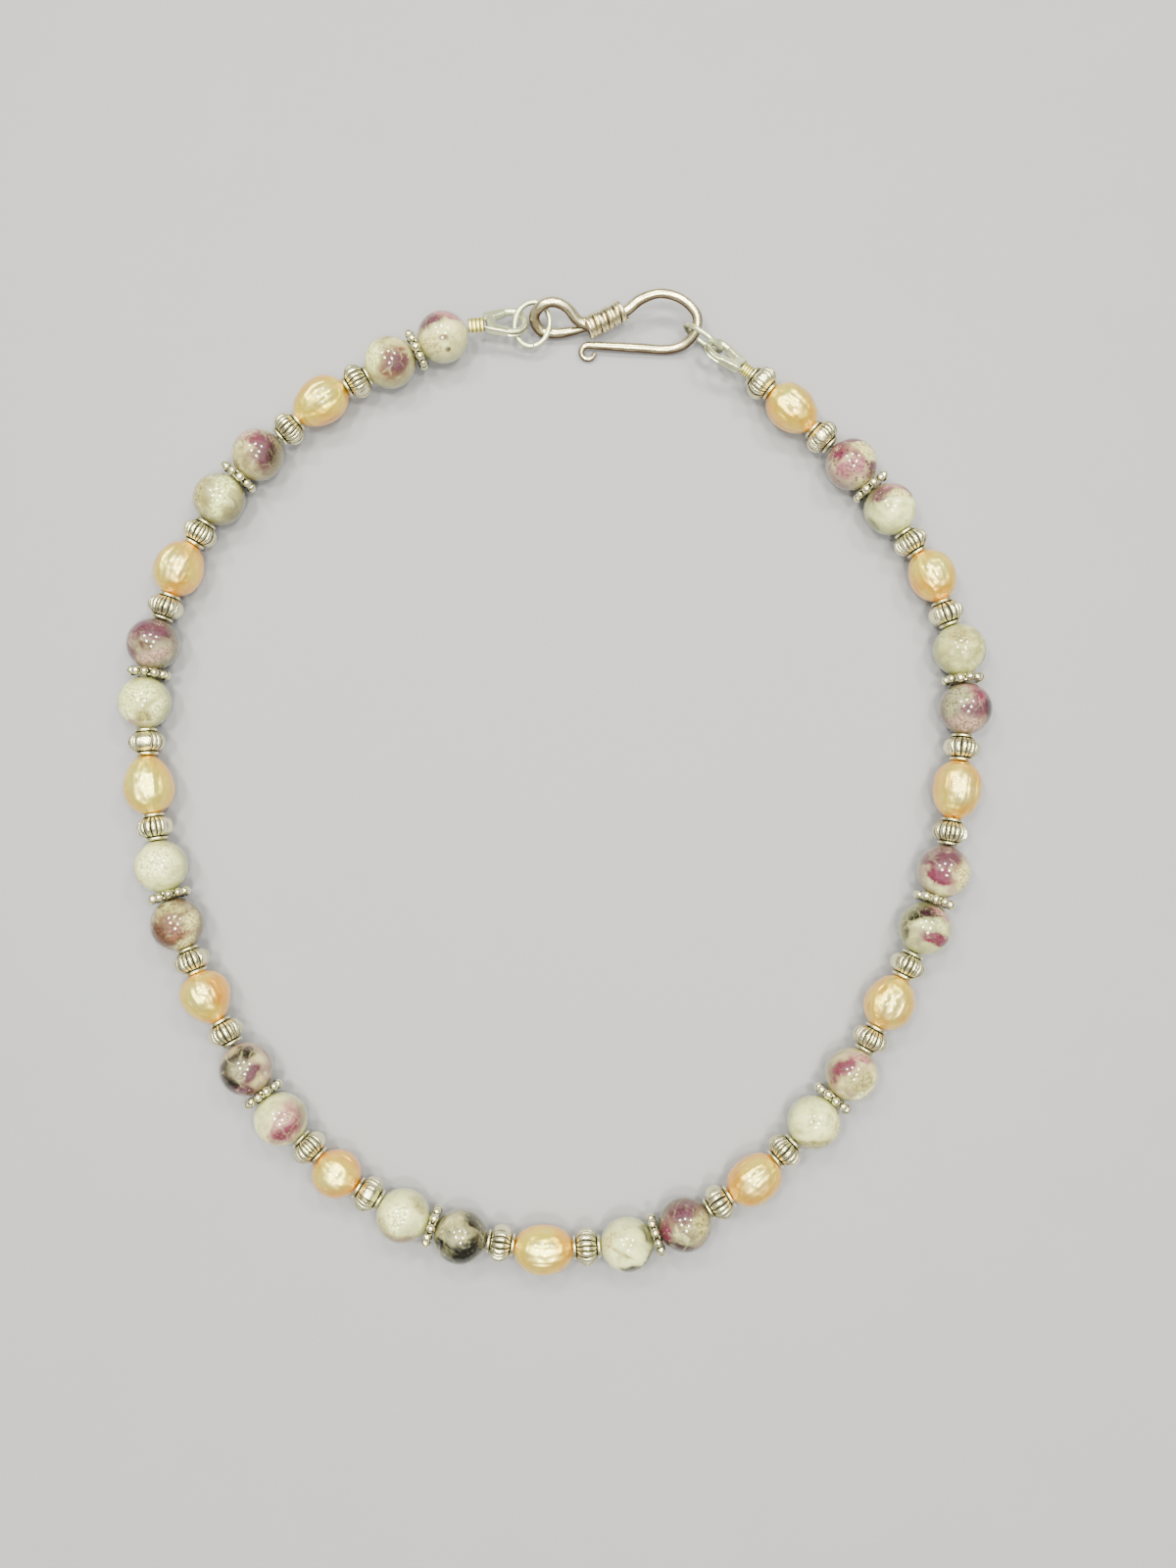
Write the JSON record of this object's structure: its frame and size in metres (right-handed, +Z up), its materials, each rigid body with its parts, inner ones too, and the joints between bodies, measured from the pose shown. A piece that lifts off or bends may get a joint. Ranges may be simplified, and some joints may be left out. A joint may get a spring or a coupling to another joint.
{
  "type": "pearl choker",
  "caption": "Single-strand choker of round banded stone beads, daisy spacers, fluted silver rondelles and oval freshwater pearls, closed by a wrought hook and eye clasp.",
  "frame": {"origin": "middle of the choker's plan outline, on the surface that it lies on", "axes": "+Z up from the surface, +Y across the loop towards the clasp, +X to the clasp's hook end"},
  "size_m": [0.134, 0.1506, 0.008],
  "materials": {
    "stone": "polished, cloudy white and grey with mauve bands",
    "pearl": "satin nacre, peach gold",
    "antiqued_silver": "antiqued cast silver, dark in its grooves",
    "clasp_silver": "hand-polished wire, slightly tarnished",
    "link_silver": "bright plated wire"
  },
  "bodies": {
    "root": {"hook_clasp": "clasp_silver", "left_crimp": "link_silver", "left_jump_ring": "link_silver", "left_wire_guard": "link_silver", "pearl_01": "pearl", "pearl_02": "pearl", "pearl_03": "pearl", "pearl_04": "pearl", "pearl_05": "pearl", "pearl_06": "pearl", "pearl_07": "pearl", "pearl_08": "pearl", "pearl_09": "pearl", "pearl_10": "pearl", "pearl_11": "pearl", "right_crimp": "link_silver", "right_jump_ring": "link_silver", "right_wire_guard": "link_silver", "spacer_run_01": "antiqued_silver", "spacer_run_02": "antiqued_silver", "spacer_run_03": "antiqued_silver", "spacer_run_04": "antiqued_silver", "spacer_run_05": "antiqued_silver", "spacer_run_06": "antiqued_silver", "spacer_run_07": "antiqued_silver", "spacer_run_08": "antiqued_silver", "spacer_run_09": "antiqued_silver", "spacer_run_10": "antiqued_silver", "spacer_run_11": "antiqued_silver", "stone_01": "stone", "stone_02": "stone", "stone_03": "stone", "stone_04": "stone", "stone_05": "stone", "stone_06": "stone", "stone_07": "stone", "stone_08": "stone", "stone_09": "stone", "stone_10": "stone", "stone_11": "stone", "stone_12": "stone", "stone_13": "stone", "stone_14": "stone", "stone_15": "stone", "stone_16": "stone", "stone_17": "stone", "stone_18": "stone", "stone_19": "stone", "stone_20": "stone", "stone_21": "stone", "stone_22": "stone"}
  },
  "joints": []
}
